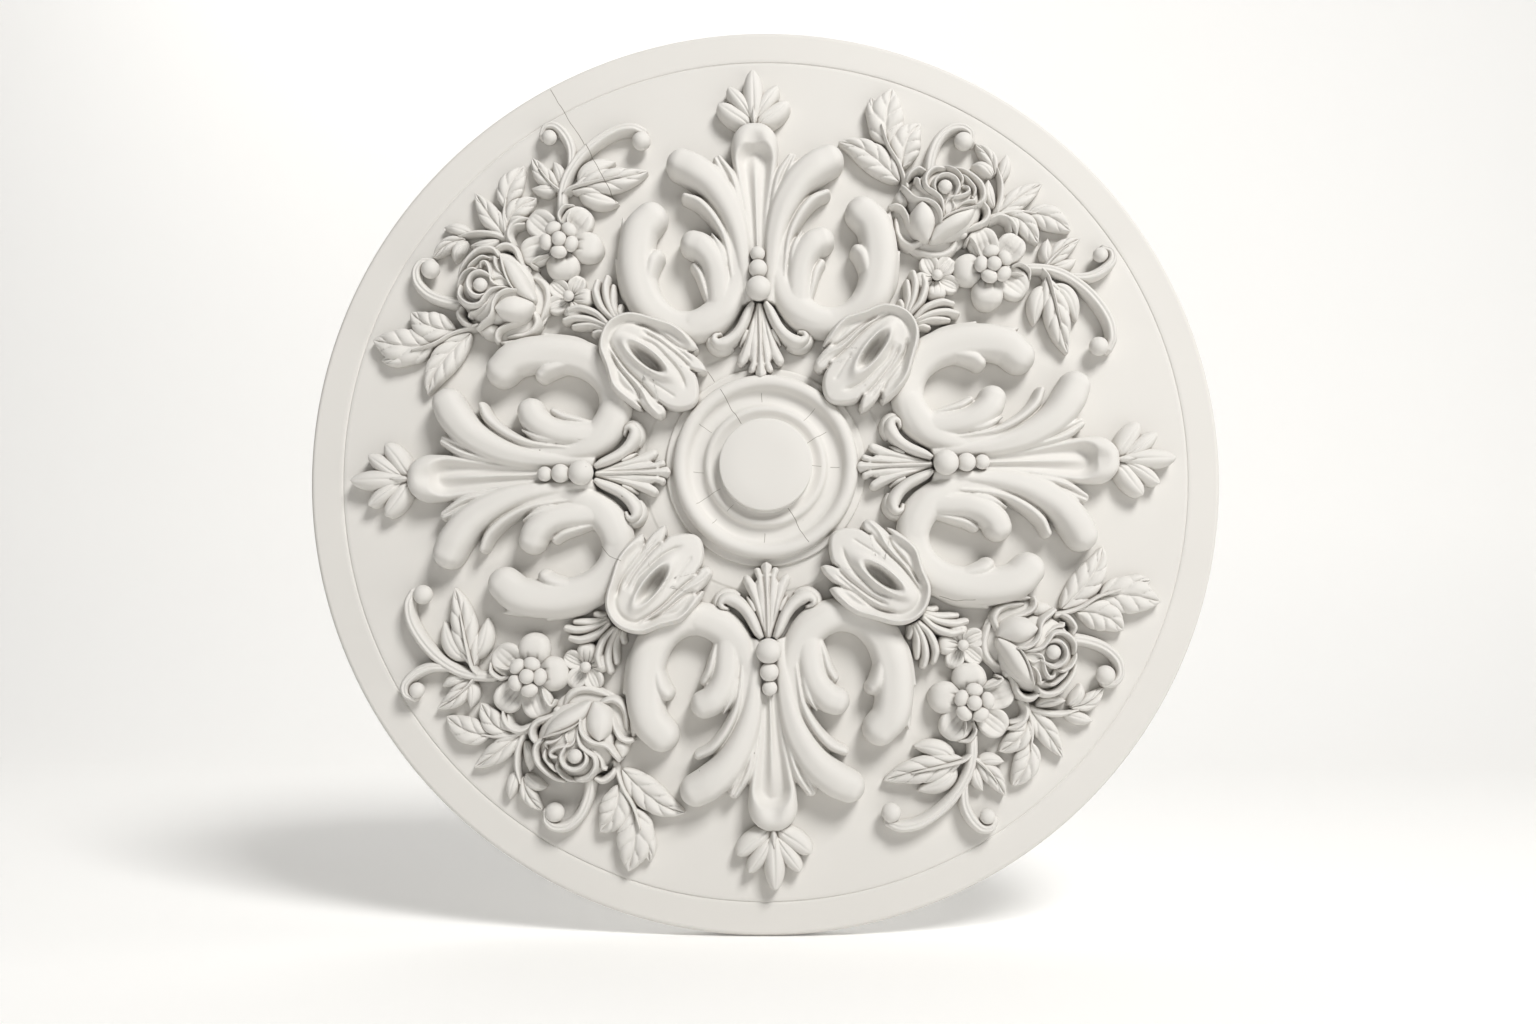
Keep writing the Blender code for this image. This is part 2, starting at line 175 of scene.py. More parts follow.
def carvedForm(points, half, top, section=roll, blunt=True, tuck=0.1, step=1.1, across=30, pull=None, dome=2.6):
    # closed surface over a curve: place = curve + side * half width * v, height = top * section(v, s)
    line = splineThrough(points, (0 if callable(half) else half, top), step)
    spot, width, height = line[:, :2], line[:, 2], line[:, 3]
    if callable(half):
        width = half(np.linspace(0, 1, len(spot)))
    heading = np.gradient(spot, axis=0)
    heading /= np.hypot(heading[:, 0], heading[:, 1])[:, None]
    fall = np.ones(len(spot))
    if blunt:
        bend = np.linspace(0, 1, carving["endRows"] + 1)[1:] ** 0.8 * math.radians(carving["endAngle"])
        spot = np.vstack([spot, spot[-1] + heading[-1] * width[-1] * np.sin(bend)[:, None]])
        heading = np.vstack([heading, np.tile(heading[-1], (len(bend), 1))])
        width = np.append(width, width[-1] * np.cos(bend))
        height = np.append(height, np.full(len(bend), height[-1]))
        low = carving["endHeight"]
        fall = np.append(fall, low + (1 - low) * np.sqrt(1 - np.sin(bend) ** dome))
    s = np.linspace(0, 1, len(spot))[:, None]
    side = np.column_stack([heading[:, 1], -heading[:, 0]])
    even, share = np.linspace(-1, 1, across), carving["evenShare"]
    v = (share * even + (1 - share) * np.sin(even * math.pi / 2))[None, :]
    rise = height[:, None] * section(v, s) * fall[:, None]
    spread = v * (1 - pull(v, s)) if pull else np.broadcast_to(v, rise.shape)
    flat = spot[:, None, :] + side[:, None, :] * (width[:, None] * spread)[:, :, None]
    upper = np.dstack([flat, rise])
    w = np.linspace(0, 1, carving["wallRows"] + 1)[None, :-1]
    walls = []
    for edge in (0, -1):
        out = spread[:, edge][:, None] * (1 - tuck * (1 - w) ** 1.5)
        wallFlat = spot[:, None, :] + side[:, None, :] * (width[:, None] * out)[:, :, None]
        wallRise = footDepth + (rise[:, edge][:, None] - footDepth) * w
        walls.append(np.dstack([wallFlat, wallRise]))
    rings = np.concatenate([walls[0], upper, walls[1][:, ::-1]], axis=1)
    return skinOf(rings, rings[0].mean(axis=0), rings[-1].mean(axis=0))


def ball(x, z, radius, centre, stretch=1.0, angle=0.0, rows=15, segments=30):
    # sphere on a short foot: radius * (cos tilt, sin tilt) turned about its own axis, longer along one angle
    tilt = np.radians(np.linspace(-55, 87, rows))
    turn = np.linspace(0, 2 * math.pi, segments, endpoint=False)
    size = np.append(radius * 0.4, radius * np.cos(tilt))[:, None]
    height = np.append(footDepth, centre + radius * np.sin(tilt))
    along, across = size * np.cos(turn) * stretch, size * np.sin(turn)
    a = math.radians(angle)
    rings = np.dstack([x + along * math.cos(a) - across * math.sin(a),
                       z + along * math.sin(a) + across * math.cos(a),
                       np.broadcast_to(height[:, None], along.shape)])
    return skinOf(rings, rings[0].mean(axis=0), (x, z, centre + radius))


def mirrored(shape):
    return shape[0] * (-1, 1, 1), shape[1][:, ::-1]


def overDiagonal(shape):
    return shape[0][:, [1, 0, 2]], shape[1][:, ::-1]


def meshOf(name, points, faces):
    # mesh from a whole array of points in metres and one of faces
    mesh = bpy.data.meshes.new(name)
    mesh.vertices.add(len(points))
    mesh.vertices.foreach_set("co", np.ascontiguousarray(points, np.float32).ravel())
    mesh.loops.add(faces.size)
    mesh.loops.foreach_set("vertex_index", np.ascontiguousarray(faces, np.int32).ravel())
    mesh.polygons.add(len(faces))
    mesh.polygons.foreach_set("loop_start", np.arange(0, faces.size, faces.shape[1], dtype=np.int32))
    mesh.update(calc_edges=True)
    mesh.validate()
    return mesh


def castOf(name, shapes):
    # closed forms as one mesh in the row's frame, its faces turned outwards
    starts = np.cumsum([0] + [len(points) for points, _ in shapes[:-1]])
    points = np.vstack([points for points, _ in shapes])
    faces = np.vstack([faces + start for (_, faces), start in zip(shapes, starts)])
    mesh = meshOf(name, toWorld(points), faces)
    turned = bmesh.new()
    turned.from_mesh(mesh)
    bmesh.ops.recalc_face_normals(turned, faces=turned.faces)
    turned.to_mesh(mesh)
    turned.free()
    return mesh


fusing = {"grain": 0.00068, "quickGrain": 0.0011, "softening": 7}


def changed(mesh, kind, **settings):
    # the mesh after one modifier
    helper = bpy.data.objects.new("helper", mesh)
    bpy.context.scene.collection.objects.link(helper)
    modifier = helper.modifiers.new(kind, kind)
    for key, value in settings.items():
        setattr(modifier, key, value)
    bpy.context.view_layer.update()
    made = bpy.data.meshes.new_from_object(helper.evaluated_get(bpy.context.evaluated_depsgraph_get()))
    bpy.data.objects.remove(helper)
    return made


def thinned(mesh, triangles):
    # fewer triangles where the surface is flat
    mesh.calc_loop_triangles()
    count = len(mesh.loop_triangles)
    if count > triangles:
        mesh = changed(mesh, "DECIMATE", ratio=triangles / count, use_collapse_triangulate=True)
    print("thinned from", count, "to", len(mesh.polygons))
    return mesh


def fused(name, shapes, triangles):
    # overlapping closed forms made one plaster skin, softened a little, and thinned
    grain = fusing["grain"]
    mesh = changed(castOf(name, shapes), "REMESH", mode="VOXEL", voxel_size=grain)
    mesh = changed(mesh, "SMOOTH", iterations=fusing["softening"], factor=0.5)
    return thinned(mesh, triangles)


# Cast plaster: aged tone, painted shade in the creases, hairline cracks and a few pits
plaster = {
    "colour": (0.69, 0.672, 0.64),
    # faint uneven tone of old limewash: its scale, and the darkest and lightest share of the colour
    "toneScale": 7.0,
    "toneRange": (0.965, 1.03),
    # painted shade in the creases: its colour, reach in metres, and how open the place is where it begins and
    # where it is full
    "creaseShadeColour": (0.40, 0.37, 0.33),
    "creaseShadeReach": 0.0042,
    "creaseShadeRange": (0.62, 0.08),
    "roughness": 0.85,
    "grainScale": 900.0,
    "grainHeight": 0.00006,
    "grainStrength": 0.35,
    "crackColour": (0.25, 0.228, 0.20),
    # lines on the face in mm, and half width
    "cracks": [([(-183.9, 328.9), (-170, 305), (-155.9, 283.9), (-141, 256), (-126.3, 227)], 0.42),
               ([(-37.1, 66.3), (-33.9, 60.7), (-27.9, 51.1), (-19.9, 38.4)], 0.42),
               ([(18.7, -32.1), (25.6, -43), (28, -49.3), (35.6, -60.2)], 0.42),
               ([(-48.6, 83.8), (-43, 75.1)], 0.4),
               ([(-3, 64.7), (-2.9, 57.2)], 0.36), ([(41, 51.5), (32, 40.3)], 0.26),
               ([(51, 31.7), (34.6, 22.1)], 0.3), ([(61.4, 2.2), (54.2, 2.2)], 0.36),
               ([(46, 2.4), (39, 2.9)], 0.26), ([(-54.7, 37.9), (-44.6, 31.2)], 0.26),
               ([(-59.8, -1.8), (-51, -2.8)], 0.28), ([(-56.6, -28.3), (-37.1, -16.2)], 0.28),
               ([(-43.8, -44.6), (-40.3, -41.4)], 0.26), ([(-31.1, -34.7), (-26.3, -29.4)], 0.26),
               ([(-0.4, -52.8), (-0.8, -60.2)], 0.34),
               ([(-134.9, -63.4), (-127.5, -72.3), (-116.8, -77.2)], 0.34),
               ([(142, -104.9), (156, -109), (170.5, -108.2)], 0.3)],
    "crackWander": 0.0011,
    "wanderScale": 70.0,
    # shares of the half width where a crack begins to show and where it is full
    "crackRange": (1.0, 0.35),
    "pitScale": 75.0,
    "pitShare": 0.16,
    "pitRange": (0.06, 0.035),
    # no crack or pit behind this depth, in metres
    "wearLimit": -0.015,
}


def nodeMaker(material):
    nodes, links = material.node_tree.nodes, material.node_tree.links

    def make(kind, inputs, **settings):
        # a node whose inputs are given as values or as the outputs of other nodes
        node = nodes.new("ShaderNode" + kind)
        for key, value in settings.items():
            setattr(node, key, value)
        for key, value in inputs.items():
            if isinstance(value, bpy.types.NodeSocket):
                links.new(value, node.inputs[key])
            else:
                node.inputs[key].default_value = value
        return node.outputs
    return make


def ranged(make, value, limits):
    # 0 at the first limit and 1 at the second
    return make("MapRange", {"Value": value, "From Min": limits[0], "From Max": limits[1]})[0]


def mixed(make, share, first, second):
    return make("MixRGB", {"Fac": share, "Color1": first, "Color2": second})[0]


def crackField(make, place):
    # 1 in a crack and 0 off it: distance to the nearest piece of line against the line's half width
    wander = make("TexNoise", {"Vector": place, "Scale": plaster["wanderScale"], "Detail": 2.0})["Color"]
    wander = make("VectorMath", {0: wander, 1: (0.5, 0.5, 0.5)}, operation="SUBTRACT")[0]
    wander = make("VectorMath", {0: wander, "Scale": plaster["crackWander"] * 2}, operation="SCALE")[0]
    moved = make("VectorMath", {0: place, 1: wander}, operation="ADD")[0]
    flat = make("VectorMath", {0: moved, 1: (1, 0, 1)}, operation="MULTIPLY")[0]
    nearest = 1.0
    for line, width in plaster["cracks"]:
        for (x0, z0), (x1, z1) in zip(line, line[1:]):
            start, run = Vector((x0, 0, z0)) * 0.001, Vector((x1 - x0, 0, z1 - z0)) * 0.001
            gap = make("VectorMath", {0: flat, 1: start}, operation="SUBTRACT")[0]
            even = run / run.length_squared
            share = make("VectorMath", {0: gap, 1: even}, operation="DOT_PRODUCT")["Value"]
            share = make("Clamp", {"Value": share})[0]
            foot = make("VectorMath", {0: run, "Scale": share}, operation="SCALE")[0]
            away = make("VectorMath", {0: gap, 1: foot}, operation="DISTANCE")["Value"]
            away = make("Math", {0: away, 1: width * 0.001}, operation="DIVIDE")[0]
            nearest = make("Math", {0: away, 1: nearest}, operation="MINIMUM")[0]
    return ranged(make, nearest, plaster["crackRange"])


def plasterMaterial():
    material = bpy.data.materials.new("castPlaster")
    material.use_nodes = True
    make, links = nodeMaker(material), material.node_tree.links
    shader = material.node_tree.nodes["Principled BSDF"]
    shader.inputs["Roughness"].default_value = plaster["roughness"]
    place = make("TexCoord", {})["Object"]
    cloud = make("TexNoise", {"Vector": place, "Scale": plaster["toneScale"], "Detail": 5.0})[0]
    shades = [(*[min(1, c * share) for c in plaster["colour"]], 1) for share in plaster["toneRange"]]
    tone = mixed(make, cloud, *shades)
    # painted shade where the surface is shut in: the occlusion of the surrounding surface darkens the tone
    # towards the crease colour
    openness = make("AmbientOcclusion", {"Distance": plaster["creaseShadeReach"]}, samples=8)["AO"]
    creaseShade = ranged(make, openness, plaster["creaseShadeRange"])
    tone = mixed(make, creaseShade, tone, (*plaster["creaseShadeColour"], 1))
    # a few small pits, and the cracks
    cell = make("TexVoronoi", {"Vector": place, "Scale": plaster["pitScale"]})
    rare = make("Math", {0: cell["Color"], 1: plaster["pitShare"]}, operation="LESS_THAN")[0]
    small = ranged(make, cell["Distance"], plaster["pitRange"])
    pit = make("Math", {0: rare, 1: small}, operation="MULTIPLY")[0]
    worn = make("Math", {0: crackField(make, place), 1: pit}, operation="MAXIMUM")[0]
    depth = make("SeparateXYZ", {0: place})["Y"]
    front = make("Math", {0: depth, 1: plaster["wearLimit"]}, operation="LESS_THAN")[0]
    worn = make("Math", {0: worn, 1: front}, operation="MULTIPLY")[0]
    tone = mixed(make, worn, tone, (*plaster["crackColour"], 1))
    links.new(tone, shader.inputs["Base Color"])
    # fine tooth of the surface
    grain = make("TexNoise", {"Vector": place, "Scale": plaster["grainScale"], "Detail": 3.0})[0]
    bump = make("Bump", {"Strength": plaster["grainStrength"], "Distance": plaster["grainHeight"],
                         "Height": grain})["Normal"]
    links.new(bump, shader.inputs["Normal"])
    return material


castPlaster = plasterMaterial()


def withCrisp(name, shapes, triangles, skin=None):
    # forms that meet in sharp creases stay closed surfaces of their own, and the fused skin is added to them
    shape = bmesh.new()
    shape.from_mesh(thinned(castOf(name + "Crisp", shapes), triangles))
    if skin:
        shape.from_mesh(skin)
    whole = bpy.data.meshes.new(name)
    shape.to_mesh(whole)
    shape.free()
    whole.shade_smooth()
    print(name, "has", len(whole.polygons), "faces")
    return whole


def addPiece(name, mesh):
    # a finished mesh as a piece of the row: it rides the root and takes the place of the one solid
    piece = bpy.data.objects.new(name, mesh)
    bpy.context.scene.collection.objects.link(piece)
    mesh.materials.clear()
    mesh.materials.append(castPlaster)
    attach(piece, "root")
    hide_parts("ceiling_rose")


# Plate and roundel
plate = {
    "radius": 380,
    "edgeRounding": 3.5,
    "backChamfer": 1.2,
    "grooveRadius": 353,
    "grooveWidth": 1.7,
    "grooveDepth": 0.9,
    # (radius, height) from the line in to the middle, with the low step of the inner field
    "field": [(330, 0), (250, 0), (170, 0), (103, 0), (101.6, 0.1), (100.9, 0.6), (99.8, 0.7), (84, 0.7),
        (60, 0.7)],
    "segments": 720,
    "roundelCentre": (0.2, 3),
    "roundelSegments": 288,
    # (radius, height) of the mouldings from the outer step in to the boss
    "mouldings": [(83.5, 0), (83.3, 3), (82.4, 4.2), (78.5, 4.4), (77.2, 4.8), (76.9, 9), (75.6, 13), (73, 15.2),
        (70, 15.7), (67.2, 14.6), (65, 12), (63.4, 9.2), (61, 7.2), (57.5, 6.6), (54, 7.1), (51.8, 8.6),
        (50.5, 11.2), (48.8, 13), (46.6, 13.4), (44.4, 12.5), (42, 11.3), (39.8, 10.8), (38.6, 11), (38.25, 12),
        (38.2, 21.6), (37.7, 22.6), (36.8, 23)],
}


def turnedSurface(profile, segments, centre=(0, 0)):
    # profile of (radius, height) carried round the axis of the face
    radius, height = np.array(profile, float).T
    turn = np.linspace(0, 2 * math.pi, segments, endpoint=False)
    rings = np.dstack([centre[0] + radius[:, None] * np.cos(turn),
                       centre[1] + radius[:, None] * np.sin(turn),
                       np.broadcast_to(height[:, None], (len(radius), segments))])
    return skinOf(rings, (*centre, height[0]), (*centre, height[-1]))


def plateMesh():
    r, soft = plate["radius"], plate["edgeRounding"]
    g, w, d = plate["grooveRadius"], plate["grooveWidth"] / 2, plate["grooveDepth"]
    bend = np.linspace(0, math.pi / 2, 7)
    edge = np.column_stack([r - soft + soft * np.cos(bend), -soft + soft * np.sin(bend)])
    chamfer = plate["backChamfer"]
    body = [(r - chamfer, -plateFront), (r, -plateFront + chamfer)] + edge.tolist()
    body += [(r - soft - 0.4, 0), (r - soft - 3, 0)]
    # one side of the line's round hollow, laid outside and inside its middle
    hollow = [(w + 3, 0), (w + 0.3, 0), (w * 0.75, d * 0.25), (w * 0.35, d * 0.85)]
    body += [(g + away, -deep) for away, deep in hollow] + [(g, -d)]
    body += [(g - away, -deep) for away, deep in hollow[::-1]] + plate["field"]
    line = splineThrough(plate["mouldings"], (0,), 0.9)
    # a foot sunk in the plate, the mouldings, and the flat of the boss
    roundel = [(84, -4)] + line[:, :2].tolist() + [(20, 23)]
    mesh = castOf("plate", [turnedSurface(body, plate["segments"]),
                            turnedSurface(roundel, plate["roundelSegments"], plate["roundelCentre"])])
    mesh.shade_smooth()
    mesh.set_sharp_from_angle(angle=math.radians(50))
    return mesh


addPiece("plate_and_roundel", plateMesh())
print("plate and roundel made")


# Scrolled acanthus arm, drawn upright on its axis: (x, z) along each stroke, half widths, heights
arm = {
    "triangles": 50000,
    "crispTriangles": 34000,
    "body": ([(12, 139), (14.5, 150), (18, 166), (21.5, 187), (27, 206)], [8, 14, 13, 10.5, 6],
        [15, 18.5, 20, 20, 18]),
    "bigScroll": ([(19, 144), (27.5, 134), (39, 126), (53, 122), (70, 122.5), (85, 130.5), (96, 146),
        (101.5, 168), (101.5, 189), (97.5, 204.5), (89, 214.5)],
        [7, 10.5, 13, 13.8, 14.4, 15.2, 15.5, 15.8, 15.8, 15.4, 14.6],
        [19, 20, 20.5, 21, 21.5, 23, 24.5, 26, 27.5, 28, 27]),
    "innerScroll": ([(33.8, 132.2), (32.8, 143.4), (33.4, 156.1), (35.1, 168.8), (39.5, 179.6), (46.9, 188.3),
        (53.1, 191.3)], [10, 11.4, 11.6, 11.6, 11.8, 12.2, 12], [20.5, 22, 24, 26, 27.5, 28, 27]),
    "base": ([(13.5, 180), (17, 163), (22.5, 148), (31, 136), (43.5, 127), (55, 123)],
        [5.5, 9, 12.5, 14, 13.4, 12.6], [19.5, 20.5, 21.5, 22, 22, 21.5]),
    "plume": ([(9, 140), (11.5, 170), (15, 197), (22.5, 220), (35.5, 241), (50.5, 254), (61.5, 260)],
        [5, 7.5, 9.6, 12, 13.6, 14.4, 13.8], [18, 22, 24.5, 27, 29, 29.5, 28]),
    "thinPlume": ([(21, 148), (23, 172), (27, 194), (36, 212.5), (47.5, 226), (59, 232)],
        [2.6, 3.6, 4.4, 5, 5.2, 4.4], [19, 22, 23.5, 24, 23, 20]),
    "innerCurl": ([(42.5, 142), (45.5, 154), (48.6, 165), (53, 172.5)], [2.6, 4, 4.6, 4.2], [17, 19.5, 20, 18]),
    "outerCurl": ([(91, 138), (92, 154), (90.5, 167), (87.5, 177), (84.5, 181)], [4, 5.6, 6.8, 7.6, 7.2],
        [17, 21, 24, 25, 23.5]),
    "sideTooth": ([(98, 138), (108, 153), (113.5, 167), (119.5, 181.5)], [9, 8.5, 6, 0.8], [13, 15, 15, 13]),
    "tipTooth": ([(102, 170), (107.5, 189), (110.5, 203), (112.5, 216.5)], [8, 8, 5.5, 0.8], [14, 16, 16, 14]),
    "innerTooth": ([(29, 160), (28.5, 174), (31.5, 187), (38, 199)], [4, 5, 4.6, 0.8], [20, 23.5, 24, 21]),
    "sideLeaf": ([(11, 205), (17, 228), (23, 247), (31, 263)], [3.6, 6.4, 7.8, 5], [17, 21.5, 22.5, 19.5]),
    "lowLeaflet": ([(3, 292), (9, 297), (18, 303), (26, 309.5), (30, 313)], 9, [13, 16, 16.5, 15, 12]),
    "highLeaflet": ([(2.5, 300), (8, 309), (14.5, 318), (21, 327)], 7.4, [14, 17, 16.5, 13]),
    "tongue": ([(0, 172), (0, 200), (0, 222), (0, 240), (0, 258), (0, 275)], [6.6, 8.8, 12, 15.8, 19, 20.2],
        [18, 20, 21.5, 23, 24.5, 25]),
    "tipLeaflet": ([(0, 297), (0, 312), (0, 327), (0, 341)], 9, [15, 18.5, 18.5, 15]),
    "bud": ([(0, 292), (0, 297), (0, 302), (0, 308)], [1, 3.4, 3, 0.6], [17, 19.5, 19, 17.5]),
    # x, z, radius, height of the middle
    "beadSeats": [(0, 149.5, 9, 16), (0, 166, 7, 15)],
    "beads": [(0, 149.5, 10.4, 25), (0, 166.4, 7.7, 23.5), (0, 179.4, 6.2, 22)],
}


def tongueSection(v, s):
    # round rim, a hollow that deepens into the hood and ends at its rim, and a rib that fades upwards
    q = np.abs(v)
    away = np.hypot(q, np.clip((s - 0.76) / 0.2, 0, 2))
    hollow = held((0.9 - away) / 0.5)
    hollow = hollow * hollow * (3 - 2 * hollow)
    deep = 0.18 + 0.42 * held(s / 0.85) ** 1.6
    ribbed = 0.2 * held((0.9 - s) / 0.25) * bell(v, 0.2)
    return 0.35 + 0.65 * (1 - q ** 4) ** 0.5 - deep * hollow + ribbed


def leafletSection(v, s):
    # smooth oval leaflet with a line down the middle
    return roll(v, s, 2.4, 0.35) - 0.10 * bell(v, 0.09) * held(1.1 - s)


def armShapes():
    # stroke, section, points across, and whether its end is blunt
    strokes = [("body", pad, 30, True), ("bigScroll", scroll, 44, True), ("innerScroll", pad, 30, True),
               ("base", pad, 30, True), ("plume", scroll, 30, True), ("thinPlume", rib, 20, True),
               ("innerCurl", rib, 18, True), ("outerCurl", rib, 22, True), ("sideTooth", roll, 30, False),
               ("tipTooth", roll, 30, False), ("innerTooth", rib, 30, False),
               ("sideLeaf", fluted(0.22), 28, True)]
    half = [carvedForm(*arm[name], section, blunt, across=across) for name, section, across, blunt in strokes]
    tongue = carvedForm(*arm["tongue"], tongueSection, across=64, dome=4)
    return half + [mirrored(shape) for shape in half] + [tongue] + [ball(*seat) for seat in arm["beadSeats"]]


def leaflet(points, width, top):
    return carvedForm(points, leafOutline(width, 0.36, 0.95), top, leafletSection, False)


def armCrisp():
    half = [leaflet(*arm["lowLeaflet"]), leaflet(*arm["highLeaflet"])]
    middle = [leaflet(*arm["tipLeaflet"]), carvedForm(*arm["bud"], rib, False, across=16)]
    return half + [mirrored(shape) for shape in half] + middle + [ball(*bead) for bead in arm["beads"]]


# Small leaf and its curled sprigs at the arm's inner end
pendant = {
    "volute": ([(5.4, 139.2), (8.6, 133.5), (11.5, 126.7), (14.7, 120), (19.2, 113.8), (24.5, 109.1),
        (30.1, 106.2), (35.1, 106.3), (38.1, 109.3), (36.9, 112.6), (33.4, 114)],
        [2.8, 4.2, 4.9, 5.2, 5.4, 5.8, 6.2, 5.4, 4, 3.1, 2.3],
        [21, 22, 22, 21.5, 21, 21, 21, 20.5, 20, 19, 16.5]),
    "voluteBack": ([(22.7, 104.1), (28.5, 101.4), (34.7, 101.3), (39.9, 104.4), (41.9, 109.3), (40.1, 113.8),
        (35.8, 116.8)], [2.4, 3.4, 4, 4, 3.6, 3.2, 2], [9, 12, 13, 13.5, 13.5, 13, 10]),
    "tooth": ([(10.3, 117), (13.4, 110.2), (16.7, 104.5)], [3.4, 3.6, 0.9], [15.5, 15, 10]),
    "knob": ([(0, 92), (0, 86), (0, 82)], [2, 4.2, 4.8], [15, 17, 16.5]),
    # half of the leaf's outline from the top to the end of the middle lobe, in stretches that meet in notches
    "outline": [
        [(0.0, 139.8), (2.5, 138.4), (4.4, 132.6), (6.7, 125.9), (9.6, 118.1), (11.9, 110.4), (14.6, 103.2),
            (17.6, 97), (19.7, 91.7), (18.8, 88.3), (16, 87.2), (12.7, 89.3), (9.7, 93.4)],
        [(9.7, 93.4), (8.1, 90.3), (9.7, 85.9), (10.2, 83), (8.1, 81.2), (5.2, 81.9), (3.4, 85.7)],
        [(3.4, 85.7), (4.5, 82), (4.2, 79.3), (2.1, 77.5), (0.0, 76.7)],
    ],
    "middle": (0, 108),
    "level": 15,
    # height, half width
    "midrib": (2.6, 1.7),
    # line, depth, half width of the grooves, and then of the raised backs
    "grooves": [
        ([(1.6, 138.2), (1.5, 120.6), (1.7, 105), (2.9, 89.6)], 1.7, 0.8),
        ([(3.5, 130.4), (5.2, 116.8), (7.5, 105.2), (8.9, 94.6)], 1, 0.9),
        ([(6, 125.6), (9.7, 113), (13.1, 103.4), (16.3, 94.8)], 0.5, 0.8),
    ],
    "backs": [
        ([(5.3, 126.6), (8, 113), (12.2, 100.5), (16.3, 90.9)], 2.2, 3.4),
        ([(3.4, 112.9), (4.9, 99.3), (7.5, 82.9)], 1.4, 2.4),
    ],
}


def reliefOver(outline, middle, riseAt, rounding=0.38, rows=72, step=0.68, reach=3.2, draw=0.97, wallRows=5):
    # closed form over an outline: columns run from the middle to the edge, rows are shares of that way, denser
    # at the edge; height = riseAt(places), turned down within the reach of the edge; the wall draws in below
    edge = np.vstack([splineThrough(stretch, (0,), step)[:-1, :2] for stretch in outline])
    middle = np.array(middle, float)
    share = 1 - (1 - np.linspace(0, 1, rows)[1:]) ** 1.25
    places = middle + (edge - middle) * share[:, None, None]
    closed = np.vstack([edge, edge[:1]])
    inset = np.hypot(places[..., None, 0] - closed[:, 0], places[..., None, 1] - closed[:, 1]).min(axis=-1)
    turnDown = np.sqrt(1 - (1 - held(inset / reach)) ** 2.4)
    rise = riseAt(places) * (1 - rounding + rounding * turnDown)
    # neighbouring columns evened out, 1-2-1
    for _ in range(2):
        rise = (np.roll(rise, 1, axis=1) + 2 * rise + np.roll(rise, -1, axis=1)) / 4
    down = np.linspace(1, 0, wallRows + 1)[1:, None]
    foot = middle + (edge - middle) * draw
    wallFlat = foot + (edge - foot) * down[..., None] ** 0.5
    wall = np.dstack([wallFlat, footDepth + (rise[-1] - footDepth) * down])
    rings = np.concatenate([np.dstack([places, rise]), wall])
    return skinOf(rings, (*middle, rise[0].mean()), (*middle, footDepth))


def leafRise(places):
    # the same on both sides: grooves beside the midrib and between the fingers, and the fingers' round backs
    x, z = np.abs(places[..., 0]), places[..., 1]
    half = np.dstack([x, z])
    height, width = pendant["midrib"]
    rise = pendant["level"] + height * bell(x, width) + 0.02 * (z - 84) - 0.012 * x ** 2
    for line, depth, width in pendant["grooves"]:
        away, along = nearestOn(half, line)
        rise -= depth * held(along / 0.15) * bell(away, width)
    for line, height, width in pendant["backs"]:
        away, along = nearestOn(half, line)
        rise += height * held(along / 0.3) * bell(away, width)
    return rise


def pendantCrisp():
    half = [
        carvedForm(*pendant["volute"], roll, across=34, step=0.7),
        carvedForm(*pendant["voluteBack"], rib, across=24),
        carvedForm(*pendant["tooth"], rib, False, across=20),
    ]
    left = [[(-x, z) for x, z in stretch] for stretch in pendant["outline"]]
    right = [stretch[::-1] for stretch in pendant["outline"][::-1]]
    leaf = reliefOver(left + right, pendant["middle"], leafRise, rounding=0.3, rows=48, step=0.6)
    return half + [mirrored(shape) for shape in half] + [leaf, carvedForm(*pendant["knob"], roll, across=26)]


armSkin = fused("arm", armShapes(), arm["triangles"])
armMesh = withCrisp("arm", armCrisp() + pendantCrisp(), arm["crispTriangles"], armSkin)


